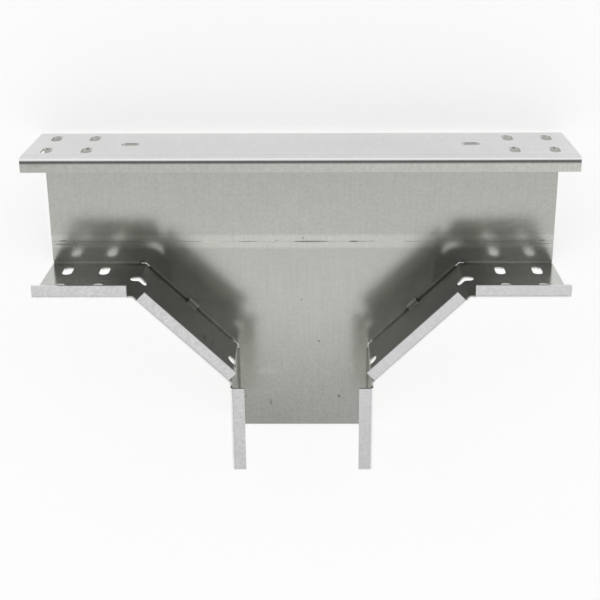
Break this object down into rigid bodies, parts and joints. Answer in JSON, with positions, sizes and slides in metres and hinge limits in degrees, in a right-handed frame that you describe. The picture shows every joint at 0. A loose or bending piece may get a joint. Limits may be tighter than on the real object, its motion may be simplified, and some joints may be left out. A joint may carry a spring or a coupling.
{
  "type": "cable tray tee",
  "caption": "Galvanised sheet steel cable tray tee with 45 degree corners, inward rims along every wall and slotted tray ends for joint plates.",
  "frame": {"origin": "where the centre lines of run and branch cross, on the plane that the tee stands on", "axes": "+X along the run, -Y along the branch, +Z out of the open side"},
  "size_m": [0.365, 0.2325, 0.064],
  "materials": {
    "galvanised_sheet": "galvanised, satin with a fine grain"
  },
  "bodies": {
    "root": {"back_sheet": "galvanised_sheet", "branch_floor": "galvanised_sheet", "corner_rail_left": "galvanised_sheet", "corner_rail_right": "galvanised_sheet"}
  },
  "joints": []
}
